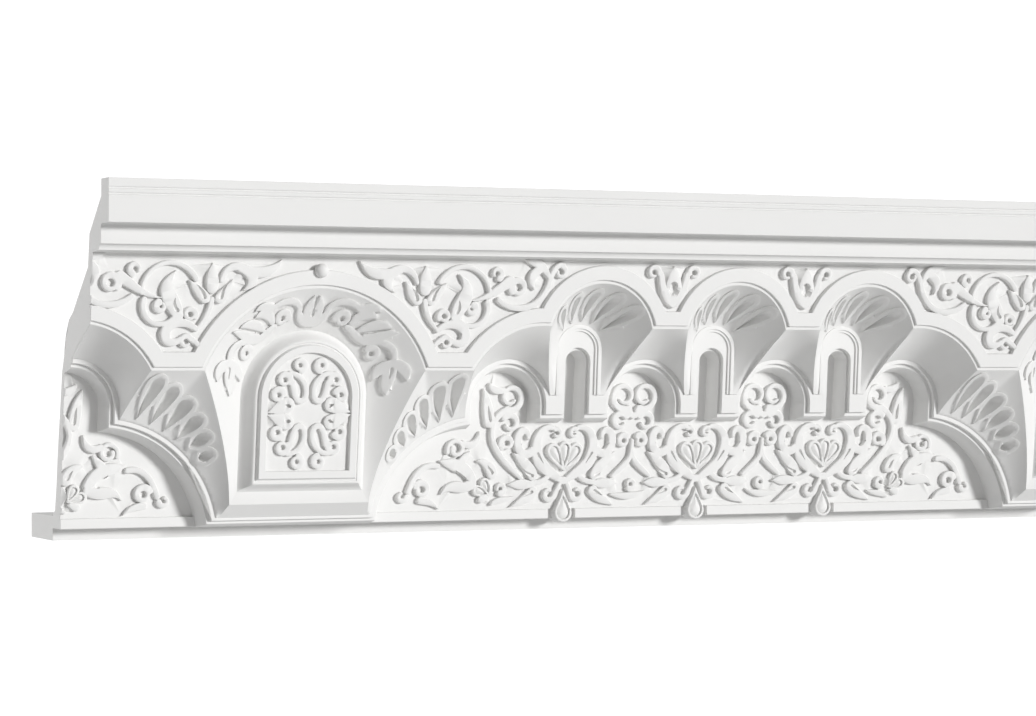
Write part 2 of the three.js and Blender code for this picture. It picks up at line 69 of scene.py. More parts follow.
# %% Plan and section sizes
PITCH = 158.0
NICHE = 233.0
HALF = NICHE + 1.5 * PITCH
SHELL = HALF - PITCH
ARCH = HALF - PITCH / 2
LEAN = 0.11
RELIEF = 5.5
NICHE_R, NICHE_Z = 127.0, 126.0
SIDE_R, SIDE_Z, SIDE_SHIFT = 89.5, 128.0, 13.0
SHELL_R, SHELL_Z = 62.3, 199.0
LOW_FLAT, HIGH_FLAT = 172.0, 215.0
BORDER, LIP = 14.5, 3.5
ARCH_R, ARCH_Z = 39.5, 132.0
QUARTER_R, QUARTER_X, QUARTER_Z = 115.0, NICHE - 29.0, -2.0
STEP_A, STEP_CELL = 4.3, 9.2
LEDGE, HOOD_R, HOOD_Z = 143.0, 24.5, 190.5
SLOT_R, SLOT_Z = 11.6, 178.0
FRAME_Z, FOOT_R, FOOT_Z = 142.0, 67.0, 48.0
SILL_TOP = np.array([74.4, 35.5, -74.5])
SILL_FOOT = np.array([79.5, 22.0, -57.4])
BACK_Z = [0, 24.5, 31, 55, 90, 125, 168, 206, 218, 226, 268, 300, 334, 350]
BACK_Y = [0, 0, -8, -13, -18, -25, -33, -50, -56, -71, -121, -126, -165, -165]


def frieze(z):
    return -131 - LEAN * (z - 218)


def ground(z):
    return -26 - LEAN * (z - 24)


def plate_a(z):
    return -57 - 0.075 * (z - 22)


def plate_b(z):
    return plate_a(z) + 5


def lip_face(z):
    return frieze(z) + 3


def cell_foot(z):
    return plate_a(z) - 1.8


def niche_back(z):
    return SILL_TOP[2] - LEAN * (z - SILL_TOP[1])


def back_face(z):
    return np.interp(z, BACK_Z, BACK_Y)


print("run of", HALF, "mm from the niche to the middle shell")

# %% [markdown]
# The lines are lists of points (x, z). The scalloped edge and the line of the lower openings are each
# given for half a run at any distance d.


# %% Arcs and lines
def arc(cx, cz, r, a0, a1, n):
    a = np.radians(np.linspace(a0, a1, n + 1))
    return np.stack([cx + r * np.cos(a), cz + r * np.sin(a)], 1)


def rise(z, cz, r):
    return math.degrees(math.asin((z - cz) / r))


def spaced(line, n):
    steps = np.linalg.norm(np.diff(line[:, :2], axis=0), axis=1)
    at = np.concatenate([[0], np.cumsum(steps)])
    want = np.linspace(0, at[-1], n + 1)
    return np.stack([np.interp(want, at, line[:, c]) for c in range(line.shape[1])], 1)


def straight(a, b, n):
    return np.linspace(a, b, n + 1)


def on_face(line, face):
    return np.column_stack([line, face(line[:, 1])])


def crossing(ax, az, ar, bx, bz, br):
    d = math.hypot(bx - ax, bz - az)
    along = (d * d + ar * ar - br * br) / (2 * d)
    up = math.sqrt(ar * ar - along * along)
    ux, uz = (bx - ax) / d, (bz - az) / d
    x, z = ax + along * ux - up * uz, az + along * uz + up * ux
    return math.degrees(math.atan2(z - az, x - ax)), math.degrees(math.atan2(z - bz, x - bx))


def scallop(d):
    low_z, high_z = LOW_FLAT + d, HIGH_FLAT + d
    side_x = NICHE + SIDE_SHIFT
    on_side, on_shell = crossing(side_x, SIDE_Z, SIDE_R + d, SHELL, SHELL_Z, SHELL_R + d)
    end = rise(high_z, SHELL_Z, SHELL_R + d)
    return (
        arc(0, NICHE_Z, NICHE_R + d, 90, rise(low_z, NICHE_Z, NICHE_R + d), 70),
        arc(side_x, SIDE_Z, SIDE_R + d, 180 - rise(low_z, SIDE_Z, SIDE_R + d), on_side, 50),
        arc(SHELL, SHELL_Z, SHELL_R + d, on_shell, end, 80),
        arc(HALF, SHELL_Z, SHELL_R + d, 180 - end, 90, 44),
    )


def scallop_line(d):
    niche, side, shell, middle = scallop(d)
    flat = straight(niche[-1], side[0], 12)[1:-1]
    high_flat = straight(shell[-1], middle[0], 8)[1:-1]
    return np.concatenate([niche, flat, side, shell[1:], high_flat, middle])


def lower_line(d):
    base, foot = 15.5 + 0.8 * d, 118.5 + d
    r, q, slot = ARCH_R + d, QUARTER_R + d, SLOT_R + 0.65 * d
    start = 180 - rise(base, QUARTER_Z, q)
    stop = math.degrees(math.acos((NICHE - r - QUARTER_X) / q))
    quarter = arc(QUARTER_X, QUARTER_Z, q, start, stop, 60)
    return np.concatenate([
        straight((0, base), quarter[0], 8)[:-1], quarter,
        arc(NICHE, ARCH_Z, r, 180, 0, 60),
        straight((NICHE + r, foot), (SHELL - slot, foot), 6),
        arc(SHELL, SLOT_Z, slot, 180, 0, 24),
        straight((SHELL + slot, foot), (ARCH - r, foot), 6),
        arc(ARCH, ARCH_Z, r, 180, 0, 60),
        straight((ARCH + r, foot), (HALF - slot, foot), 6),
        arc(HALF, SLOT_Z, slot, 180, 90, 12),
    ])


print("scalloped edge of", len(scallop_line(0)), "points a half run")

# %% [markdown]
# ## From lines to closed pieces
# A patch is a grid of points between lines. Its rim is run straight back to just inside the hidden
# back of the casting and closed there, so that each piece is a closed body. Half runs are mirrored about
# the niche, and whatever passes a cut end is trimmed off.

# %% Patches
def to_world(points):
    return (np.asarray(points) + ZERO) / 1000


def grid_faces(n, m):
    at = np.arange(n * m).reshape(n, m)
    return np.stack([at[:-1, :-1], at[:-1, 1:], at[1:, 1:], at[1:, :-1]], -1).reshape(-1, 4)


def along_run(sheet):
    """The three half runs of a sheet of columns (t, z, y): left and right of the niche, then to the end."""
    parts = []
    for origin, turn in ((NICHE, -1), (NICHE, 1), (LENGTH, -1)):
        part = sheet.copy()
        part[..., 0] = origin + turn * part[..., 0]
        parts.append(part)
    return parts


def sheet_mesh(bm, sheet):
    n, m = sheet.shape[:2]
    rows = sheet.reshape(-1, 3)[:, [0, 2, 1]]
    add_mesh(bm, rows, grid_faces(n, m))


def add_mesh(bm, points, faces):
    verts = [bm.verts.new(p) for p in points]
    for f in faces:
        if len(set(f)) == len(f):
            bm.faces.new([verts[i] for i in f])


print("half runs at", NICHE, "both ways and back from", round(LENGTH))

# %% [markdown]
# A piece is trimmed, closed, moved into the frame and shaded smooth, with sharp edges past an angle.

# %% Closed pieces
MADE = []
BURIED = 3.0


def trim(bm, inset):
    """Cut at both ends of the length. Pieces that overlap are cut at slightly different places."""
    for x, turn in ((inset, -1), (LENGTH - inset, 1)):
        every = bm.verts[:] + bm.edges[:] + bm.faces[:]
        bmesh.ops.bisect_plane(bm, geom=every, dist=1e-6, plane_co=(x, 0, 0),
                               plane_no=(turn, 0, 0), clear_outer=True)


def join(bm, other):
    mesh = bpy.data.meshes.new("joined")
    other.to_mesh(mesh)
    other.free()
    bm.from_mesh(mesh)


def close_back(bm, back=lambda z: float(back_face(z)) - BURIED):
    bmesh.ops.remove_doubles(bm, verts=bm.verts[:], dist=1e-3)
    rim = [e for e in bm.edges if e.is_boundary]
    grown = bmesh.ops.extrude_edge_only(bm, edges=rim)["geom"]
    for v in (g for g in grown if isinstance(g, bmesh.types.BMVert)):
        v.co.y = max(back(v.co.z), v.co.y + 0.5)
    new_rim = [g for g in grown if isinstance(g, bmesh.types.BMEdge) and g.is_boundary]
    bmesh.ops.edgeloop_fill(bm, edges=new_rim)
    bmesh.ops.recalc_face_normals(bm, faces=bm.faces[:])


def piece(name, bm, sharp=32):
    mesh = bpy.data.meshes.new(name)
    bmesh.ops.triangulate(bm, faces=[f for f in bm.faces if len(f.verts) > 4])
    bm.to_mesh(mesh)
    bm.free()
    flat = np.empty(len(mesh.vertices) * 3)
    mesh.vertices.foreach_get("co", flat)
    mesh.vertices.foreach_set("co", to_world(flat.reshape(-1, 3)).ravel())
    mesh.shade_smooth()
    mesh.set_sharp_from_angle(angle=math.radians(sharp))
    obj = bpy.data.objects.new(name, mesh)
    bpy.context.scene.collection.objects.link(obj)
    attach(obj, "root")
    MADE.append(obj)
    mesh.calc_loop_triangles()
    print(name, len(mesh.loop_triangles), "triangles")


print("closed backs stay", BURIED, "mm inside the casting")


# %% [markdown]
# What runs straight is a bar with one section of (y, z) points, eased at its corners.

# %% Bars
def bar(bm, section, x0, x1):
    """A bar along the run from a section of (y, z) points."""
    section = np.array(section, float)
    ends = [np.column_stack([np.full(len(section), x), section]) for x in (x0, x1)]
    n = len(section)
    faces = [(i, (i + 1) % n, n + (i + 1) % n, n + i) for i in range(n)]
    add_mesh(bm, np.concatenate(ends), faces + [tuple(range(n)), tuple(range(2 * n - 1, n - 1, -1))])
    bmesh.ops.recalc_face_normals(bm, faces=bm.faces[:])


def rounded(section, r=0.8, n=3):
    """A section with its corners eased, as cast arrises are."""
    out = []
    p = np.array(section, float)
    for a, b, c in zip(np.roll(p, 1, 0), p, np.roll(p, -1, 0)):
        k = min(r, 0.4 * np.linalg.norm(a - b), 0.4 * np.linalg.norm(c - b))
        a = b + (a - b) / np.linalg.norm(a - b) * k
        c = b + (c - b) / np.linalg.norm(c - b) * k
        for s in np.linspace(0, 1, n + 1):
            out.append((1 - s) ** 2 * a + 2 * s * (1 - s) * b + s * s * c)
    return out


print("bars run up to", round(LENGTH), "mm")

# %% [markdown]
# ## Crown mouldings
# The top is run, not carved: a wide fascia with two fine grooves, a soffit, a narrower band, and a
# small cove down to the frieze. One section, drawn once, is swept along the whole length.

# %% Crown
crown = bmesh.new()
cove = [(-164.5 + 7.5 * math.sin(a), 288.7 - 6.2 * (1 - math.cos(a))) for a in np.linspace(0, 1.5, 8)]
crown_section = rounded([
    (-127, 279), (-135, 280), (-136, 281.5), *cove[::-1], (-164.5, 304), (-165.2, 306.5), (-167, 308),
    (-189.5, 308), (-189.5, 333.7), (-188.3, 334.4), (-188.3, 335.6), (-189.5, 336.3), (-189.5, 339.3),
    (-188.3, 340), (-188.3, 341.2), (-189.5, 341.9), (-189.5, HEIGHT), (-165, HEIGHT), (-165, 334),
    (-127, 300)], 0.7)
bar(crown, crown_section, 0, LENGTH)
piece("crown_mouldings", crown, 25)

# %% [markdown]
# ## Base, flange and hollow back
# Behind the carving the casting is a plain shell. Its hollow back follows the cut end along the whole
# run, down to the flange that is fixed to the wall. The front of this bar stays just under the carved
# pieces. The strip along the base is broken under each shell, where a pendant hangs.

# %% Shell behind the carving
SHELLS = [NICHE + SHELL + k * PITCH for k in range(3)]
GAP, STRIP_TOP, STRIP_FOOT = 16.0, 22.6, 12.4
shell_bar = bmesh.new()
front = [(-23.8, STRIP_TOP), (-23.8, STRIP_FOOT), (-1, STRIP_FOOT), (0, 12), (0, 0)]
inner = [(ground(z) + 1.2, z) for z in (22.7, 60, 110, 160, 200)]
inner += [(-58, 214), (-80, 232), (-122, 262), (-126.5, 281)]
rear = [(y, z) for y, z in zip(BACK_Y, BACK_Z) if 31 <= z <= 300]
bar(shell_bar, rounded([*inner[::-1], *front, (FLANGE_BACK, 0), (FLANGE_BACK, 24.5), (0, 24.5), *rear],
                       0.5, 2), 0.2, LENGTH - 0.2)
strip = [(-23, 22.7), (-27.5, 22.7), (-29, 22.2), (-29, 13), (-28.4, STRIP_FOOT), (-23, STRIP_FOOT)]
stops = [0, *[x + side for x in SHELLS for side in (-GAP, GAP)], LENGTH]
for x0, x1 in zip(stops[::2], stops[1::2]):
    bar(shell_bar, strip, x0, x1)
print("base strip in", len(stops) // 2, "lengths")

# %% [markdown]
# The carved pieces are cut at both ends of the length. A thin plug just inside each cut closes what would
# be slits between them, so that the cut shows plaster from front to back.

# %% Cut ends
SET_BACK, PLUG = 1.5, (0.05, 0.9)
VAULT_TOP, VAULT_FOOT = 212, 181
left_end = [(frieze(z) + RELIEF + SET_BACK, z) for z in (282, 229)]
left_end += [(frieze(z) + SET_BACK, z) for z in (227, 215)]
lip_y, foot_y = lip_face(VAULT_TOP), cell_foot(VAULT_FOOT)
for z in (VAULT_TOP, 204, 196, 188, VAULT_FOOT):
    v = (VAULT_TOP - z) / (VAULT_TOP - VAULT_FOOT)
    left_end.append((lip_y + v * (1.25 - 0.25 * v) * (foot_y - lip_y) + 2 + 2 * v, z))
left_end += [(plate_a(z) + SET_BACK, z) for z in (180, 176.6)]
left_end += [(plate_b(z) + SET_BACK, z) for z in (175, 172.3)]
left_end += [(ground(z) + 1.4, z) for z in (170, 100, 24)]
right_end = [(frieze(z) + RELIEF + SET_BACK, z) for z in (282, 269)]
right_end += [(frieze(z) + SET_BACK, z) for z in (266, 255)]
right_end.append((lip_face(249) + 3, 249))
niche_steps = [(209, 0), (199, -12), (193, -18), (187, -18), (185, -13), (72, -13), (67, -18), (61, -18),
               (56, -14), (48, 0)]
right_end += [(niche_back(z) + d + 2, z) for z, d in niche_steps]
right_end += [(SILL_TOP[2] + 2, SILL_TOP[1]), (SILL_FOOT[2] + 2, SILL_FOOT[1] + 1), (-20, 23)]
behind = [(y - 0.4, z) for y, z in rear]
bar(shell_bar, left_end + behind, *PLUG)
bar(shell_bar, right_end + behind, LENGTH - PLUG[1], LENGTH - PLUG[0])
piece("base_and_back", shell_bar)

# %% [markdown]
# ## Plates over the lower openings
# Two thin plates, one behind the other, are cut to the same line: up the quarter arc, over the small
# arches, along the pier feet and up the slots. Each step is a narrow band between two parallel lines, so
# the bands are laid as strips and the flat between the plates and the cells is filled.

# %% Feet of the cells
def hood_line(x, a1):
    return np.concatenate([[(x - HOOD_R, LEDGE)], arc(x, HOOD_Z, HOOD_R, 180, a1, 40 if a1 == 0 else 20)])


def cell_feet():
    r, q = ARCH_R + STEP_CELL, QUARTER_R + STEP_CELL
    qa = math.degrees(math.acos((NICHE - r - QUARTER_X) / q))
    la = rise(LEDGE, ARCH_Z, r)
    in_x = r * math.cos(math.radians(la))
    quarter = arc(QUARTER_X, QUARTER_Z, q, 180 - rise(22.5, QUARTER_Z, q), qa, 60)
    side = np.concatenate([quarter[-1:], arc(NICHE, ARCH_Z, r, 180, la, 60)])
    shell = np.concatenate([[(NICHE + in_x, LEDGE)], hood_line(SHELL, 0),
                            [(SHELL + HOOD_R, LEDGE), (ARCH - in_x, LEDGE)]])
    small = arc(ARCH, ARCH_Z, r, 180 - la, la, 60)
    middle = np.concatenate([[(ARCH + in_x, LEDGE)], hood_line(HALF, 90)])
    return quarter, side, shell, small, middle


feet = cell_feet()
print("feet of", len(feet), "cells in half a run")

# %% [markdown]
# The bands come first, then the piers: the flat that is left between the upper plate's edge and the feet.


# %% Stepped plates
def fill_between(bm, line, other, face):
    """A flat between two lines of the half run, laid on a face and mirrored along the run."""
    loop = np.concatenate([line, other[::-1]])
    for part in along_run(on_face(loop, face)[None]):
        flat = part[0][:, [0, 2, 1]]
        made = bm.faces.new([bm.verts.new(p) for p in flat])
        bmesh.ops.triangulate(bm, faces=[made])


plates = bmesh.new()
bands = [(-5, lambda z: ground(z) + 1), (-5, ground), (0, lambda z: plate_b(z) + 0.5),
         (0.5, plate_b), (STEP_A - 0.2, plate_b), (STEP_A, lambda z: plate_a(z) + 0.5),
         (STEP_A + 0.5, plate_a)]
sheet = np.stack([on_face(lower_line(d), f) for d, f in bands], 1)
for part in along_run(sheet):
    sheet_mesh(plates, part)
trim(plates, 0.1)
close_back(plates)
piers = bmesh.new()
foot_line = np.concatenate([[(0, 23.0)], feet[0], *[f[1:] for f in feet[1:]]])
fill_between(piers, lower_line(STEP_A + 0.3), foot_line, plate_a)
trim(piers, 0.4)
close_back(piers)
join(plates, piers)
piece("stepped_plates", plates)

# %% [markdown]
# ## Carving
# The carving is a drawing in strokes: stems, leaves, curls and flutes, each a centre line with a half width.
# A profile gives the height at a distance in from a stroke's edge. Raised strokes have a flat top and a
# steep wall, eyes and holes are sunk into them, a bulge swells inside a rim and a flute is hollow inside one.

# %% Strokes
PROFILES = {
    "raised": ([0.06, 0.5, 1.45], [0, 0.86, 1]),
    "eye": ([0, 0.3, 1.1, 2.6], [1, 0.7, 0.48, 0.4]),
    "bulge": ([0, 0.5, 2, 4, 6], [1, 0.45, 0.7, 0.92, 1]),
    "hole": ([0, 0.35, 0.7], [1, 0.15, 0]),
    "flute": ([0, 0.4, 1.4, 2.8, 4.4, 6], [1, 0.5, -0.5, -1.5, -2.2, -2.5]),
}
CURL_END = 0.72


def stroke(line, half, kind="raised"):
    return np.asarray(line, float), np.asarray(half, float), kind


def curl(x, z, r0, r1, a0, a1, w0, w1):
    """A stroke round a centre, from one radius and angle to another."""
    s = np.linspace(0, 1, max(10, int(abs(a1 - a0) / 9)) + 1)
    a = np.radians(a0 + (a1 - a0) * s)
    r = r0 + (r1 - r0) * s
    return stroke(np.stack([x + r * np.cos(a), z + r * np.sin(a)], 1), w0 + (CURL_END * w1 - w0) * s)


def vine(x0, z0, x1, z1, x2, z2, x3, z3, w0, w1, w2):
    """A stroke along a curve with two handles, w1 wide at its middle."""
    s = np.linspace(0, 1, 23)
    ends = np.array([(x0, z0), (x1, z1), (x2, z2), (x3, z3)])
    p = np.stack([(1 - s) ** 3, 3 * s * (1 - s) ** 2, 3 * s**2 * (1 - s), s**3], 1) @ ends
    return stroke(p, w0 * (1 - s) ** 2 + (2 * w1 - 0.5 * (w0 + w2)) * 2 * s * (1 - s) + w2 * s**2)


def drop(x0, z0, x1, z1, w, kind="raised", bow=0.0):
    """A drop from its point to a round head of radius w."""
    s = np.linspace(0, 1, 17)
    b = 4 * bow * s * (1 - s)
    line = np.stack([x0 + s * (x1 - x0) - b * (z1 - z0), z0 + s * (z1 - z0) + b * (x1 - x0)], 1)
    return stroke(line, 0.25 + (w - 0.25) * np.sin(0.5 * np.pi * s) ** 1.2, kind)


def mirrored(strokes, about=0.0):
    return [(np.column_stack([2 * about - p[:, 0], p[:, 1]]), w, kind) for p, w, kind in strokes]


def moved(strokes, x):
    return [(p + (x, 0), w, kind) for p, w, kind in strokes]


def over_run(strokes):
    parts = [moved(mirrored(strokes), NICHE), moved(strokes, NICHE), moved(mirrored(strokes), LENGTH)]
    return [s for part in parts for s in part if s[0][:, 0].max() > -8]


print("profiles:", ", ".join(PROFILES))

# %% [markdown]
# A point takes the highest of the raised strokes over it, and the lowest of the cuts after that, so
# crossings and joins need no trimming.


# %% Height of the carving
def stroke_distance(points, line, half):
    """Signed distance from points to the edge of a stroke, negative inside it."""
    a, d = line[:-1], np.diff(line, axis=0)
    long = np.maximum((d * d).sum(1), 1e-9)
    s = np.clip(((points[:, None] - a) * d).sum(2) / long, 0, 1)
    gap = np.linalg.norm(points[:, None] - a - s[..., None] * d, axis=2)
    return (gap - (half[:-1] + s * np.diff(half))).min(1)


def carved_height(points, strokes, height):
    out = np.zeros(len(points))
    for line, half, kind in sorted(strokes, key=lambda s: s[2] != "raised"):
        reach = half.max() + 0.5
        near = ((points > line.min(0) - reach) & (points < line.max(0) + reach)).all(1)
        if not near.any():
            continue
        gap = stroke_distance(points[near], line, half)
        h = height * np.interp(-gap, *PROFILES[kind])
        if kind == "raised":
            out[near] = np.maximum(out[near], h)
        else:
            out[near] = np.where(gap < 0, np.minimum(out[near], h), out[near])
    return out


def offset_loop(line, half, inset):
    keep = half > inset + 0.05
    line, w = line[keep], half[keep] - inset
    t = np.gradient(line, axis=0)
    t /= np.linalg.norm(t, axis=1)[:, None]
    n = np.column_stack([-t[:, 1], t[:, 0]])
    caps = []
    for end, sign in ((-1, 1), (0, -1)):
        a = np.radians(np.linspace(90, -90, 13)[1:-1])[:, None]
        caps.append(line[end] + w[end] * sign * (np.sin(a) * n[end] + np.cos(a) * t[end]))
    return np.concatenate([line + w[:, None] * n, caps[0], (line - w[:, None] * n)[::-1], caps[1]])


print("an eye is sunk to", PROFILES["eye"][1][-1], "of the relief")

# %% [markdown]
# Lines at set distances inside each stroke become edges of a flat triangulation inside the field's
# outline, and every point then takes its height. The face under it may be flat or a ruled sheet.

# %% Carved fields
def inside(points, loop):
    x, z = points[:, 0], points[:, 1]
    odd = np.zeros(len(points), bool)
    for (x0, z0), (x1, z1) in zip(loop, np.roll(loop, -1, 0)):
        cross = (z0 > z) != (z1 > z)
        if abs(z1 - z0) > 1e-12:
            odd ^= cross & (x < (x1 - x0) * (z - z0) / (z1 - z0) + x0)
    return odd


def carved_field(outline, strokes, face, height=RELIEF, grid=0.0):
    """Points (x, z, y) and triangles of a field inside an outline (x, z), carved on a face y(x, z)."""
    points, edges = [], []

    def add_line(line, closed):
        first, n = len(points), len(line)
        points.extend(map(tuple, line))
        edges.extend((first + i, first + (i + 1) % n) for i in range(n if closed else n - 1))

    add_line(outline, True)
    box_low, box_high = outline.min(0) - 1, outline.max(0) + 1
    shown = [s for s in strokes if (s[0].max(0) > box_low).all() and (s[0].min(0) < box_high).all()]
    for line, half, kind in shown:
        for inset in [0, *PROFILES[kind][0][1:]]:
            if (half > inset + 0.3).sum() > 2:
                add_line(offset_loop(line, half, inset), True)
        if kind != "raised":
            add_line(line[1:-1], False)
    if grid:
        gx, gz = np.meshgrid(*[np.arange(a, b, grid) for a, b in zip(box_low, box_high)])
        points.extend(zip(gx.ravel(), gz.ravel()))
    made = delaunay_2d_cdt([Vector(p) for p in points], edges, [], 0, 1e-4)
    flat = np.array([tuple(v) for v in made[0]])
    tris = np.array([f for f in made[2] if len(f) == 3])
    tris = tris[inside(flat[tris].mean(1), outline)]
    used, tris = np.unique(tris, return_inverse=True)
    flat = flat[used]
    y = face(flat[:, 0], flat[:, 1]) - carved_height(flat, shown, height)
    return np.column_stack([flat, y]), tris.reshape(-1, 3).tolist()


print("relief of", RELIEF, "mm")


# %% [markdown]
# Some fields lie on a ruled sheet. Its first and last rows are hidden strips that tuck under the pieces
# above and below, and the rows between are carved.

# %% Fields on a ruled sheet
def add_field(bm, field, halves=False):
    points, tris = field
    for part in along_run(points) if halves else [points]:
        add_mesh(bm, part[:, [0, 2, 1]], tris)


def face_of(sheet):
    """The face y(x, z) of a sheet of columns (x, z, y), found by looking straight at it."""
    quads = grid_faces(*sheet.shape[:2])
    tris = np.concatenate([quads[:, [0, 1, 2]], quads[:, [0, 2, 3]]])
    p = sheet.reshape(-1, 3)
    side = p[tris[:, 1:]][..., :2] - p[tris[:, :1]][..., :2]
    tris = tris[np.abs(side[:, 0, 0] * side[:, 1, 1] - side[:, 0, 1] * side[:, 1, 0]) > 1e-4]
    flat = [Vector((x, z, 0)) for x, z, _ in p]
    full = [Vector(v) for v in p]
    tree = BVHTree.FromPolygons(flat, tris.tolist())

    def face(xs, zs):
        out = []
        for x, z in zip(xs, zs):
            at, _, i, _ = tree.find_nearest((x, z, 0))
            out.append(barycentric_transform(at, *[flat[k] for k in tris[i]], *[full[k] for k in tris[i]])[2])
        return np.array(out)

    return face


def add_carved_sheet(bm, sheet, strokes, height, grid):
    """A ruled sheet of the half run, carved, mirrored along the run and with its hidden strips."""
    seen = sheet[:, 1:-1]
    rim = np.concatenate([seen[:, 0], seen[-1, 1:], seen[-2::-1, -1], seen[0, -2:0:-1]])
    add_field(bm, carved_field(rim[:, :2], strokes, face_of(seen), height, grid), True)
    for part in along_run(sheet):
        sheet_mesh(bm, part[:, :2])
        sheet_mesh(bm, part[:, -2:])


print("a raised edge is eased over", PROFILES["raised"][0][-1], "mm")

# %% [markdown]
# ## Hollow cells
# Under the scalloped edge hang the cells: a wing beside the niche, a side vault, shells and small vaults.
# Each is ruled from the lip above to its foot below and hollowed a little on the way. The ridges between
# cells are columns that two cells share. The wings and shells are fields carved with drop-shaped flutes,
# each inside a raised lobe.

# %% Cell surfaces
def ruled(upper, lower, hollow, rows=24):
    v = np.linspace(0, 1, rows + 1)[None, :, None]
    sag = v * (1 + hollow - hollow * v)
    flat = upper[:, None, :2] + v * (lower[:, None, :2] - upper[:, None, :2])
    y = upper[:, None, 2:] + sag * (lower[:, None, 2:] - upper[:, None, 2:])
    run = lower[:, :2] - upper[:, :2]
    run = run / np.linalg.norm(run, axis=1)[:, None]
    above = np.column_stack([upper[:, :2] - 2.5 * run, upper[:, 2] + 4])[:, None]
    below = np.column_stack([lower[:, :2] + 1.5 * run, lower[:, 2] + 4])[:, None]
    return np.concatenate([above, np.concatenate([flat, y], 2), below], 1)


def wing_edge(n=60):
    s = np.linspace(0, 1, n + 1)
    z = SILL_TOP[1] + s * (LOW_FLAT - LIP - SILL_TOP[1])
    top = math.sqrt((NICHE_R - LIP) ** 2 - (LOW_FLAT - LIP - NICHE_Z) ** 2)
    x = SILL_TOP[0] + (top - SILL_TOP[0]) * s**1.5
    return np.column_stack([x, z, SILL_TOP[2] + (lip_face(LOW_FLAT) - SILL_TOP[2]) * s**1.15])


def zone(top, foot, n, hollow):
    return ruled(on_face(spaced(top, n), lip_face), on_face(spaced(foot, n), cell_foot), hollow)


lip_niche, lip_side, lip_shell, lip_middle = scallop(-LIP)
edge = wing_edge()
flat = on_face(straight(edge[-1, :2], lip_side[0], 30)[1:], lip_face)
wing_top = spaced(np.concatenate([straight(SILL_FOOT, SILL_TOP, 8)[:-1], edge, flat]), 90)
turn = np.degrees(np.arctan2(wing_top[:, 1] - QUARTER_Z, wing_top[:, 0] - QUARTER_X))
quarter_end = math.degrees(math.atan2(feet[0][-1, 1] - QUARTER_Z, feet[0][-1, 0] - QUARTER_X))
quarter_start = math.degrees(math.atan2(feet[0][0, 1] - QUARTER_Z, feet[0][0, 0] - QUARTER_X))
turn = np.radians(np.interp(turn, [turn[-1], turn[0]], [quarter_end, quarter_start]))
reach = QUARTER_R + STEP_CELL
wing_foot = np.column_stack([QUARTER_X + reach * np.cos(turn), QUARTER_Z + reach * np.sin(turn)])
wing = ruled(wing_top, on_face(wing_foot, cell_foot), 0.3)
shell = zone(lip_shell, feet[2], 100, 0.7)
middle = zone(lip_middle, feet[4], 50, 0.7)
side = zone(lip_side, feet[1], 60, 0.25)
small = zone(straight(lip_shell[-1], lip_middle[0], 20), feet[3], 50, 0.25)
side[0], side[-1] = wing[-1], shell[0]
small[0], small[-1] = shell[-1], middle[0]
print("wing, side vault, shell, small vault and half the middle shell")

# %% [markdown]
# Six flutes fan out on each wing and five on each shell. A hood with a double step stands round the
# slot under each shell.


# %% Flutes
def flute(x, z, angle, tail, head, width, rim):
    """A raised lobe and the drop sunk in it, pointing at (x, z)."""
    way = np.array([math.cos(math.radians(angle)), math.sin(math.radians(angle))])
    (x0, z0), (x1, z1), (x2, z2) = [(x, z) + r * way for r in (tail - 2, tail, head - width)]
    return [drop(x0, z0, x2, z2, width + rim), drop(x1, z1, x2, z2, width, "flute")]


sizes = zip([170, 168, 163, 156, 149, 141], [7.2, 7.2, 7, 6.6, 6, 5.2])
wing_flutes = [s for i, (head, width) in enumerate(sizes)
               for s in flute(QUARTER_X, QUARTER_Z, 106 + 6.9 * i, 129, head, width, 4.4)]
shell_flutes = [s for k in range(-2, 3) for s in flute(0, 190, 90 + 23.3 * k, 31, 59, 4.8, 4.6)]
cells = bmesh.new()
for sheet, strokes, height in ((wing, wing_flutes, 3.2), (shell, moved(shell_flutes, SHELL), 3.4),
                               (middle, moved(shell_flutes, HALF), 3.4)):
    add_carved_sheet(cells, sheet, strokes, height, 2.6)
for sheet in (side, small):
    for part in along_run(sheet):
        sheet_mesh(cells, part)
trim(cells, 0.3)
close_back(cells)
hoods = bmesh.new()
for x in SHELLS:
    radii = (HOOD_R + 1.5, HOOD_R + 1.2, HOOD_R - 0.4, 22, 21.6, 19.3, 18.9)
    hood = [np.concatenate([[(x - r, LEDGE + 0.1)], arc(x, HOOD_Z, r, 180, 0, 40), [(x + r, LEDGE + 0.1)]])
            for r in radii]
    depths = (0.4, 3.4, 3.6, 3.6, 1.9, 1.9, -1)
    faces = [on_face(line, lambda z, d=d: plate_a(z) - d) for line, d in zip(hood, depths)]
    sheet_mesh(hoods, np.stack(faces, 1))
close_back(hoods)
join(cells, hoods)
piece("hollow_cells", cells, 40)

# %% [markdown]
# ## Scalloped border
# The carved frieze ends in a flat raised border that follows every arch, with a small lip set back
# below it. Parallel lines of the same edge give both.

# %% Border
border = bmesh.new()
steps = [(-LIP - 0.2, lambda z: lip_face(z) + 4), (-LIP, lambda z: lip_face(z) + 0.4),
         (-LIP + 0.4, lip_face), (-0.1, lip_face), (0, lambda z: frieze(z) + 0.5), (0.5, frieze),
         (BORDER - 0.6, frieze), (BORDER, lambda z: frieze(z) + 0.6),
         (BORDER + 0.7, lambda z: frieze(z) + RELIEF + 0.4)]
for part in along_run(np.stack([on_face(scallop_line(d), f) for d, f in steps], 1)):
    sheet_mesh(border, part)
trim(border, 0.2)
close_back(border)
piece("scalloped_border", border)

# %% [markdown]
# ## Upper frieze
# Beside the niche a large spandrel is filled with a scrolling vine: a tulip, a great ring, split leaves
# and curls. Between two shells sits a pair of volutes with an almond. Both are drawn once for half a run
# and mirrored. A ball sits over the crown of the niche.

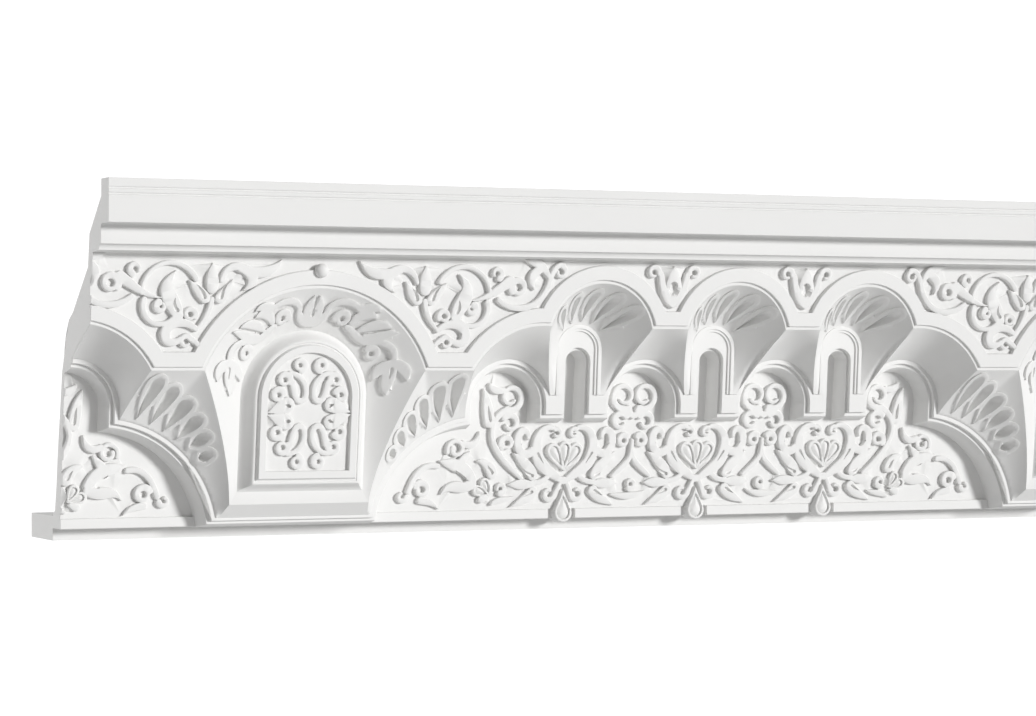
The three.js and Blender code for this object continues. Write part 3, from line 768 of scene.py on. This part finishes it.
# %% Upper frieze drawing
def tulip(x, z):
    return [
        vine(x - 21, z + 24, x - 17, z + 16, x - 13, z + 10, x - 8, z + 6, 0.6, 4.8, 5.6),
        vine(x + 23, z + 23, x + 18, z + 17, x + 12, z + 12, x + 7, z + 6, 0.6, 4.8, 5.6),
        vine(x, z + 16, x, z + 24, x, z + 33, x, z + 40, 6, 6, 0.5),
        drop(x - 15, z + 19, x - 9, z + 7, 2.4, "eye", 0.08),
        drop(x + 16, z + 19, x + 8, z + 7, 2.4, "eye", -0.08),
    ]


def spandrel():
    return [
        vine(41, 277, 50, 266, 60, 262, 74, 266, 0.6, 5.4, 4.6),
        vine(74, 266, 88, 274, 99, 270, 103, 256, 4.6, 4, 2.2),
        vine(84, 267, 70, 267, 65, 254, 80, 247, 3, 6, 0.6),
        *tulip(112, 233),
        vine(112, 238, 113, 226, 119, 216, 128, 208, 3, 3, 1.6),
        curl(154, 244, 29, 29, 152, -2, 3.2, 3),
        curl(163.5, 231, 18, 17, 20, -205, 3.3, 3.1),
        vine(146, 222, 150, 238, 168, 246, 149, 265, 6, 8, 0.6),
        drop(149, 239, 147, 227, 2.2, "eye", 0.15),
        curl(163.5, 230.5, 4.6, 3.4, 60, -230, 4.2, 2.6),
        vine(162, 239, 180, 240, 192, 251, 205, 259, 0.6, 4, 6),
        curl(214, 253, 7.6, 6, 210, -130, 4.4, 3.4),
        curl(190, 266.5, 5.6, 3.8, -60, 210, 3.8, 2.6),
        vine(193, 240, 207, 228, 237, 226, 248, 256, 3, 3.6, 3.4),
        vine(248, 256, 251, 270, 257, 278, 263, 276, 3.4, 3.2, 3),
        curl(261, 269, 6, 3.6, 75, -190, 3, 2.6),
        vine(248, 262, 241, 280, 229, 278, 220, 281, 2, 5, 0.5),
        vine(241, 272, 231, 270, 225, 262, 232, 251, 3.4, 5, 1),
        curl(133.5, 223, 5.8, 3.8, 200, -140, 3.4, 2.6),
        vine(127, 209, 140, 220, 158, 215, 158, 204, 3, 5, 5.6),
        vine(158, 204, 158, 195, 149, 194, 143, 199, 5.6, 4.4, 3),
        curl(137, 197, 5.4, 4, 150, -140, 3.4, 2.6),
        drop(136, 209, 152, 205, 1.7, "eye"),
        vine(133, 200, 128, 198, 124, 194, 121, 189, 3, 3, 0.6),
    ]


def volute_pair(x):
    one = [
        vine(x, 237, x - 12, 243, x - 13, 258, x - 15.5, 268, 4, 4.2, 3.6),
        curl(x - 23.5, 270, 6.2, 3.8, -5, 290, 3.4, 2.6),
    ]
    almond = [vine(x, 238, x, 250, x, 262, x, 277, 5, 9.5, 0.5), drop(x, 246, x, 256.5, 4.4, "hole")]
    return one + mirrored(one, x) + almond


print(len(spandrel()), "strokes in a spandrel")

# %% [markdown]
# The field runs from just under the border's top edge to behind the crown.


# %% Upper frieze
def run_line(half):
    left = np.column_stack([NICHE - half[::-1, 0], half[::-1, 1]])
    right = np.column_stack([NICHE + half[:, 0], half[:, 1]])
    end = np.column_stack([LENGTH - half[::-1, 0], half[::-1, 1]])
    line = np.concatenate([left, right[1:], end[1:]])
    i = np.argmax(line[:, 0] > 1e-6)
    f = -line[i - 1, 0] / (line[i, 0] - line[i - 1, 0])
    return np.concatenate([[line[i - 1] + f * (line[i] - line[i - 1])], line[i:]])


upper_strokes = over_run(spandrel() + volute_pair(ARCH))
upper_edge = run_line(scallop_line(BORDER - 1.2))
upper_outline = np.concatenate([upper_edge, [(LENGTH, 283), (0, 283)]])
upper = bmesh.new()
add_field(upper, carved_field(upper_outline, upper_strokes, lambda x, z: frieze(z) + RELIEF))
trim(upper, 0.1)
close_back(upper, lambda z: frieze(z) + RELIEF + 2)
BALL_R, BALL_Z = 7, 267
balls = bmesh.new()
for x in (NICHE, LENGTH):
    made = bmesh.ops.create_uvsphere(balls, u_segments=40, v_segments=24, radius=BALL_R)
    bmesh.ops.translate(balls, verts=made["verts"], vec=(x, frieze(BALL_Z) - 1, BALL_Z))
trim(balls, 0.02)
bmesh.ops.holes_fill(balls, edges=[e for e in balls.edges if e.is_boundary], sides=0)
join(upper, balls)
piece("upper_frieze", upper, 38)

# %% [markdown]
# ## Lower frieze
# Under each shell stands a palmette between heart scrolls, with a lobed leaf and a flower on each side.
# Under each small arch there are ram's horns and a double scroll, and the quarter arcs beside the niche
# hold a freer spray. The ground leans forward a little as it rises.

# %% Lower frieze drawing
def palmette(x):
    one = [
        drop(x, 62, x + 13.5, 84.5, 8.2),
        drop(x + 3, 68, x + 12.8, 84, 5.2, "bulge"),
        vine(x + 1, 51, x + 14, 62, x + 30, 66, x + 32, 82, 3, 6.4, 6.6),
        vine(x + 32, 82, x + 36, 97, x + 28, 111, x + 15, 108.5, 6.6, 4.6, 3),
        curl(x + 10, 102.5, 4.8, 3, 60, 330, 2.9, 2.4),
        drop(x + 24.5, 70.5, x + 31.5, 81.5, 1.3, "eye"),
        vine(x + 0.5, 54, x + 5, 50, x + 6, 44, x + 9.5, 38, 3, 2.8, 3.4),
        curl(x + 16.5, 38.5, 7, 4, 185, 470, 3.6, 2.8),
        vine(x + 43, 98, x + 42, 108, x + 55, 109, x + 55, 95, 2.6, 4.2, 5),
        vine(x + 55, 95, x + 55, 82, x + 45, 77, x + 38, 84, 5, 5, 5),
        drop(x + 44, 89, x + 43.3, 88, 1.4, "hole"),
        drop(x + 52, 92, x + 47, 88.5, 1.2, "eye"),
        vine(x + 17, 60, x + 20, 53, x + 28, 50.5, x + 37, 50, 3, 3.2, 3),
        vine(x + 59, 82, x + 51, 75, x + 41, 69, x + 36, 58, 0.6, 5.6, 5.8),
        drop(x + 51, 68, x + 37, 58, 2, "eye", 0.08),
        vine(x + 60, 25.5, x + 49, 31, x + 42, 33, x + 35, 41, 0.6, 5, 6),
        drop(x + 46, 36, x + 36.5, 41, 1.8, "eye"),
        vine(x + 36, 49, x + 46, 49, x + 54, 49, x + 64, 49, 3, 5.6, 0.5),
    ]
    return one + mirrored(one, x) + [drop(x, 62, x, 87, 7.4), drop(x, 68, x, 86.5, 5, "bulge")]


def horns(x):
    one = [
        curl(x + 10.3, 94, 6, 4, 130, -190, 4, 3),
        vine(x, 94, x + 0.5, 86, x + 1, 80, x + 2, 76, 2.4, 2.2, 2.8),
        vine(x + 1, 79, x + 3, 71, x + 12, 65, x + 22, 56.5, 2.6, 3.4, 2.4),
        curl(x + 12, 141.5, 14.5, 6.5, -115, 310, 3.9, 2.8),
        curl(x + 15, 114.5, 9, 5.6, 140, -150, 4, 3),
        vine(x + 6, 127, x + 4, 124, x + 5, 121, x + 9, 121, 4.4, 4, 4),
        vine(x + 20, 131, x + 14, 126, x + 6, 124, x, 120, 3.6, 4, 3.6),
    ]
    foot = [curl(x, 47.5, 5, 3.4, -110, 200, 3.4, 2.6),
            vine(x - 22, 37, x - 8, 33.5, x + 6, 34, x + 17, 40, 1.2, 4, 0.6)]
    return one + mirrored(one, x) + foot


def quarter_spray():
    x = NICHE
    return [
        curl(x + 14, 140.5, 14, 5.4, -110, 320, 4, 2.8),
        vine(x + 5, 148, x - 3, 146, x - 8, 150, x - 10.5, 154, 3.4, 4.2, 2),
        curl(x + 14.5, 113.5, 9, 5.4, 140, -150, 4, 3),
        vine(x + 9, 127, x + 4, 125, x - 6, 118, x - 6, 104, 4, 3.6, 2.8),
        vine(x - 6, 104, x - 6, 92, x + 2, 78, x + 29, 56, 2.8, 3.4, 2.4),
        curl(x + 11.5, 92.5, 7, 4.4, 215, -120, 4, 3),
        vine(x - 18, 150, x - 13, 140, x - 12, 128, x - 9.5, 115, 0.5, 5.4, 6.5),
        drop(x - 12, 132, x - 9.5, 117, 2.3, "eye"),
        curl(x - 46, 87, 10, 4.4, 200, -190, 2.6, 3.6),
        vine(x - 38, 93, x - 30, 88, x - 22, 92, x - 20, 104, 3.4, 4, 1.4),
        vine(x - 64, 75, x - 52, 70, x - 38, 73, x - 26, 55, 0.6, 7, 5),
        vine(x - 61, 40, x - 52, 54, x - 40, 43, x - 26, 50, 0.6, 6, 5),
        vine(x - 44, 68, x - 39, 74, x - 35, 80, x - 30, 84, 4.5, 4.5, 0.8),
        drop(x - 46, 65, x - 36, 55, 3, "hole"),
        vine(x - 22, 74.5, x - 14, 74, x - 7, 70, x - 4, 61, 0.5, 5, 6.3),
        drop(x - 10, 70, x - 4.5, 62, 2.1, "eye"),
        drop(x - 5, 38, x - 12, 51, 6),
        drop(x - 5, 38, x - 20, 43.5, 6),
        drop(x - 5, 37, x - 15, 34, 4.4),
        drop(x - 7, 41, x - 11.8, 50.5, 3.6, "bulge"),
        drop(x - 9, 39.5, x - 19, 43.5, 3.8, "bulge"),
        vine(x - 66, 69.5, x - 84, 73, x - 92, 60, x - 98, 43, 3.2, 3.4, 3.2),
        curl(x - 104.5, 38.5, 5, 3.4, -10, -250, 3.4, 2.8),
        curl(x - 83, 45.5, 7.4, 5, 150, -190, 4.2, 3),
        vine(x - 84, 34, x - 76, 33, x - 70, 32, x - 63, 25, 4, 3.6, 0.6),
        curl(x + 6, 45, 5, 3.4, -90, 200, 3.6, 2.6),
        vine(x - 3, 29, x + 4, 34, x + 12, 32, x + 22, 36, 2, 3.6, 0.6),
    ]


print(len(palmette(0)), "strokes in a palmette")

# %% [markdown]
# The field is bounded by the plates' edge above and the base strip below, in two parts: the run between
# the niches, and the stretch left of the first niche.

# %% Lower frieze
lower_half = lower_line(-4.2)
start = np.argmax((lower_half[:, 1] > 23.2) & (lower_half[:, 0] > 10))
half_edge = lower_half[start:]
half_edge = np.concatenate([[(half_edge[0, 0] - 0.05, STRIP_TOP)], half_edge])
right = np.column_stack([NICHE + half_edge[:, 0], half_edge[:, 1]])
end = np.column_stack([LENGTH - half_edge[::-1, 0], half_edge[::-1, 1]])
left = np.column_stack([NICHE - half_edge[::-1, 0], half_edge[::-1, 1]])
left = left[left[:, 0] > 0.01]
left = np.concatenate([[(0, STRIP_TOP), (0, left[0, 1])], left])
lower_strokes = over_run(palmette(SHELL) + horns(ARCH) + quarter_spray()) + moved(palmette(HALF), NICHE)
lower = bmesh.new()
for outline in (np.concatenate([right, end[1:]]), left):
    add_field(lower, carved_field(outline, lower_strokes, lambda x, z: ground(z)))
trim(lower, 0.15)
close_back(lower)
piece("lower_frieze", lower, 38)

# %% [markdown]
# ## Niche
# The niche narrows towards its sill and splays in to a raised frame round a sunk panel. The splay is a
# field carved with a band of leaves on a ruled sheet from the lip to the frame's foot. The frame
# is a stack of parallel arched lines, and the panel is a carved field with looped knotwork.

# %% Splay with its leaf band
def splay_band():
    one = [
        vine(0, 216, 4, 222, 8, 232, 2, 243, 5, 6, 0.5),
        vine(4, 215, 12, 218, 15, 226, 17, 233, 4, 4, 0.6),
        drop(0, 232, 0, 224, 2, "eye"),
        curl(31.5, 220, 6.6, 4, 175, -170, 4.2, 3),
        vine(14, 228, 18, 238, 32, 240, 44, 231, 2.6, 3.8, 3),
        vine(44, 231, 52, 226, 58, 236, 66, 226, 3, 5.4, 0.6),
        vine(42, 216, 48, 226, 58, 226, 64, 220, 3.4, 5.4, 0.6),
        vine(38, 212, 46, 208, 52, 196, 62, 197, 3, 4, 3.6),
        vine(50, 208, 60, 214, 70, 216, 80, 210, 2.4, 5.4, 0.5),
        vine(56, 203, 66, 198, 76, 206, 88, 206, 2.4, 5.4, 0.5),
        curl(66, 185.5, 6, 4, 130, -190, 4, 3),
        vine(64, 197, 78, 198, 90, 190, 86, 176, 3.6, 3.8, 3),
        vine(86, 176, 80, 172, 72, 170, 70, 158, 3.4, 6, 0.6),
        vine(86, 176, 96, 174, 100, 168, 100, 158, 3.4, 6, 0.6),
        vine(85, 176, 86, 164, 80, 154, 83, 143, 4.4, 6.6, 0.4),
        drop(85, 160, 86, 170, 2, "eye"),
    ]
    return one + mirrored(one)


def splay_sheet():
    top = np.concatenate([on_face(lip_niche, lip_face), wing_edge()[::-1][1:]])
    foot = np.concatenate([arc(0, FRAME_Z, FOOT_R, 90, 0, 60), [(FOOT_R, FOOT_Z)]])
    return ruled(spaced(top, 160), on_face(spaced(foot, 160), niche_back), 0.12)


splay = bmesh.new()
add_carved_sheet(splay, splay_sheet(), splay_band(), 4.2, 3.0)
trim(splay, 0.35)
close_back(splay)
piece("niche_splay", splay, 40)

# %% [markdown]
# The frame's lines go from its foot, up the outer roll, over a flat fillet and down to the panel. The
# knotwork is drawn in one quarter and mirrored both ways.


# %% Frame, sill and panel
def arched(r, foot):
    leg = straight((-r, foot), (-r, FRAME_Z), 20)
    sill_line = straight((r, foot), (-r, foot), 24)
    return np.concatenate([leg[:-1], arc(0, FRAME_Z, r, 180, 0, 80), leg[::-1][1:] * (-1, 1), sill_line[1:]])


PANEL_Z, PANEL_FACE, KNOT_RELIEF = 126, -14.3, 4.4
FRAME_STEPS = [
    (67.6, 47.4, 4), (67, 48, 0), (64.5, 50, -1.5), (61, 52.4, -6.5), (58, 54.6, -12.5), (56.6, 55.6, -14.6),
    (55.7, 56.2, -15.2), (54.6, 57.5, -15.2), (53.9, 58.4, -14.2), (52.8, 60, -14.6), (51.9, 61, -18),
    (51.2, 61.6, -19), (44.7, 68.4, -19), (44.3, 68.7, -18.6), (43.9, 69, PANEL_FACE)]


def knot():
    one = [
        curl(11.5, 48, 5.6, 3.8, 250, -110, 3.9, 2.6),
        curl(27, 33.5, 6, 4, 200, -150, 3.9, 2.6),
        curl(33, 18.5, 6, 4, 150, -190, 3.9, 2.6),
        drop(45, 0.5, 23.5, 8.8, 8),
        drop(26, 9, 21.5, 7.5, 1.8, "hole"),
        vine(19, 31, 17, 22, 15, 12, 9.5, 12.5, 3.4, 3.4, 3.4),
        vine(9.5, 12.5, 3, 13, 3, 24, 6, 30, 3.4, 3.2, 3.2),
        vine(6, 30, 10, 37, 16, 40, 22, 40, 3.2, 3, 2.6),
    ]
    return [(p * (s, t) + (0, PANEL_Z), w, kind) for p, w, kind in one for s in (1, -1) for t in (1, -1)]


niche = bmesh.new()
for axis in (NICHE, LENGTH):
    lines = [on_face(arched(r, foot), lambda z, d=d: niche_back(z) + d) for r, foot, d in FRAME_STEPS]
    sheet_mesh(niche, np.stack(lines, 1)[:, ::-1] + (axis, 0, 0))
    panel = arched(*FRAME_STEPS[-1][:2])[:-1] + (axis, 0)
    add_field(niche, carved_field(panel, moved(knot(), axis), lambda x, z: niche_back(z) + PANEL_FACE,
                                  KNOT_RELIEF))
    for half in (1, -1):
        foot = axis + half * SILL_FOOT[0], SILL_FOOT[2], SILL_FOOT[1]
        top = axis + half * SILL_TOP[0], SILL_TOP[2], SILL_TOP[1]
        corner = axis + half * FOOT_R, niche_back(FOOT_Z), FOOT_Z
        mid = [(axis, p[1], p[2]) for p in (foot, top, corner)]
        add_mesh(niche, [foot, top, corner, *mid], [(0, 1, 4, 3), (1, 2, 5, 4)])
trim(niche, 0.45)
close_back(niche)
piece("niche_frame_and_panel", niche, 38)

# %% [markdown]
# ## Pendants
# Under each palmette the base strip is broken by a drop-shaped plaque: round below, pointed above, with a
# raised rim round a swelling drop.

# %% Pendants
DROP_Z, DROP_R, DROP_TIP = 18.8, 10.5, 44.0
SWELL_R, SWELL_TIP = 7.7, 37.0
DROP_GROUND, DROP_BACK = -28.0, -15.0


def taper(x, tip, half, n, kind="raised"):
    """A straight stroke from a point down to the drop's round foot."""
    s = np.linspace(0, 1, n)
    return stroke(np.stack([np.full(n, x), tip + (DROP_Z - tip) * s], 1), 0.1 + (half - 0.1) * s, kind)


pendants = bmesh.new()
for x in SHELLS:
    strokes = [taper(x, DROP_TIP, DROP_R, 30), taper(x, SWELL_TIP, SWELL_R, 25, "bulge")]
    loop = np.concatenate([arc(x, DROP_Z, DROP_R, -203, 23, 40), [(x, DROP_TIP)]])
    add_field(pendants, carved_field(loop, strokes, lambda px, z: np.full(len(z), DROP_GROUND), RELIEF, 1.5))
close_back(pendants, lambda z: DROP_BACK)
piece("pendants", pendants, 40)
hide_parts("cornice_length")

# %% [markdown]
# ## Plaster
# Cast gypsum is matte and nearly white. Up close it has a faint cloudiness and a fine tooth. The
# numbers are worked by a small class whose plus and times make the nodes, so a finish reads as a formula.

# %% A socket that does sums
class Socket:
    def __init__(self, tree, out):
        self.tree, self.out = tree, out

    def node(self, kind, settings, sockets, output=0):
        """A new node: settings first, then values or links for its sockets; gives one of its outputs."""
        made = self.tree.nodes.new(kind)
        for key, value in settings.items():
            setattr(made, key, value)
        for key, value in sockets.items():
            if isinstance(value, Socket):
                self.tree.links.new(value.out, made.inputs[key])
            else:
                made.inputs[key].default_value = value
        return Socket(self.tree, made.outputs[output])

    def sum(self, kind, a, b):
        return self.node("ShaderNodeMath", {"operation": kind}, {0: a, 1: b})

    def __add__(self, other):
        return self.sum("ADD", self, other)

    def __radd__(self, other):
        return self.sum("ADD", other, self)

    def __mul__(self, other):
        return self.sum("MULTIPLY", self, other)

    def __rmul__(self, other):
        return self.sum("MULTIPLY", other, self)


print("sums of", Socket.__name__, "objects make nodes")

# %% [markdown]
# The cloudiness is some centimetres across and the tooth about a millimetre. Both shift the white a
# little, and together they roughen the surface.

# %% Plaster finish
plaster = bpy.data.materials.new("cast_plaster")
plaster.use_nodes = True
tree = plaster.node_tree
shader = tree.nodes["Principled BSDF"]
where = Socket(tree, tree.nodes.new("ShaderNodeTexCoord").outputs["Object"])
cloud = where.node("ShaderNodeTexNoise", {}, {"Vector": where, "Scale": 9.0, "Detail": 4.0}, "Fac")
tooth = where.node("ShaderNodeTexNoise", {}, {"Vector": where, "Scale": 900.0, "Detail": 3.0}, "Fac")
shade = 0.74 + 0.03 * cloud + 0.01 * tooth
tint = where.node("ShaderNodeCombineColor", {}, {0: shade, 1: shade * 0.997, 2: shade * 0.985})
bumps = tooth + 2.0 * cloud
grain = where.node("ShaderNodeBump", {}, {"Strength": 0.12, "Distance": 0.0003, "Height": bumps})
finish = {"Base Color": tint, "Roughness": 0.78 + 0.1 * cloud, "Normal": grain}
for name, value in finish.items():
    tree.links.new(value.out, shader.inputs[name])
shader.inputs["Specular IOR Level"].default_value = 0.25
for obj in MADE:
    obj.data.materials.clear()
    obj.data.materials.append(plaster)
print("plaster on", len(MADE), "pieces")

# %% [markdown]
# ## Camera, floor and light
# The camera stands a little left of the length and level with its middle, with a long lens, as the
# photograph was taken. The focal length is in pixels of the photograph, whose width is the sensor's.

# %% Camera
camera = bpy.data.objects.new("camera", bpy.data.cameras.new("camera"))
bpy.context.scene.collection.objects.link(camera)
bpy.context.scene.camera = camera
FOCAL_PIXELS, PHOTO_PIXELS, SENSOR = 3050, 1036, 36
CAMERA_PLACE = np.array([-837.27, -2944.50, 171.35])
CAMERA_TILT, CAMERA_TURN = 90.186, -24.547
camera.data.lens = SENSOR * FOCAL_PIXELS / PHOTO_PIXELS
camera.data.sensor_fit = "HORIZONTAL"
camera.data.sensor_width = SENSOR
camera.location = to_world(CAMERA_PLACE)
camera.rotation_euler = (math.radians(CAMERA_TILT), 0, math.radians(CAMERA_TURN))
print("camera", np.round(camera.location, 3))

# %% [markdown]
# The key light comes from the right, in front and a little above, like a low sun with soft edges. A
# weak light from behind the left end brightens the cut face, and a pale room fills the shade.

# %% Floor and light
pale = bpy.data.materials.new("pale_floor")
pale.use_nodes = True
pale.node_tree.nodes["Principled BSDF"].inputs["Base Color"].default_value = (0.9, 0.9, 0.9, 1)
pale.node_tree.nodes["Principled BSDF"].inputs["Roughness"].default_value = 0.9
bpy.ops.mesh.primitive_plane_add(size=5, location=(0, -0.4, -0.75))
floor = bpy.context.object
floor.name = "floor"
floor.data.materials.append(pale)
glow = bpy.data.materials.new("white_card")
glow.use_nodes = True
glow_shader = glow.node_tree.nodes["Principled BSDF"]
glow_shader.inputs["Base Color"].default_value = (0, 0, 0, 1)
glow_shader.inputs["Emission Color"].default_value = (1, 1, 1, 1)
glow_shader.inputs["Emission Strength"].default_value = 1.05
bpy.ops.mesh.primitive_plane_add(size=16, location=(2.5, 4.5, 0), rotation=(math.radians(90), 0, 0))
card = bpy.context.object
card.name = "card"
card.data.materials.append(glow)
world = bpy.data.worlds.new("room")
bpy.context.scene.world = world
world.use_nodes = True
world.node_tree.nodes["Background"].inputs["Color"].default_value = (1, 1, 1, 1)
world.node_tree.nodes["Background"].inputs["Strength"].default_value = 0.28


def lamp(name, kind, place, aim, strength, **soft):
    light = bpy.data.objects.new(name, bpy.data.lights.new(name, kind))
    light.data.energy = strength
    for key, value in soft.items():
        setattr(light.data, key, value)
    light.location = place
    light.rotation_euler = (Vector(aim) - Vector(place)).to_track_quat("-Z", "Y").to_euler()
    bpy.context.scene.collection.objects.link(light)


lamp("key", "SUN", (2.2, -3.6, 0.95), (0, 0, 0.15), 2.75, angle=math.radians(10))
lamp("fill", "AREA", (-3.4, 1.4, 0.6), (-0.5, 0, 0.15), 36, size=1.5)
bpy.context.scene.view_settings.view_transform = "Standard"
print("stage ready")
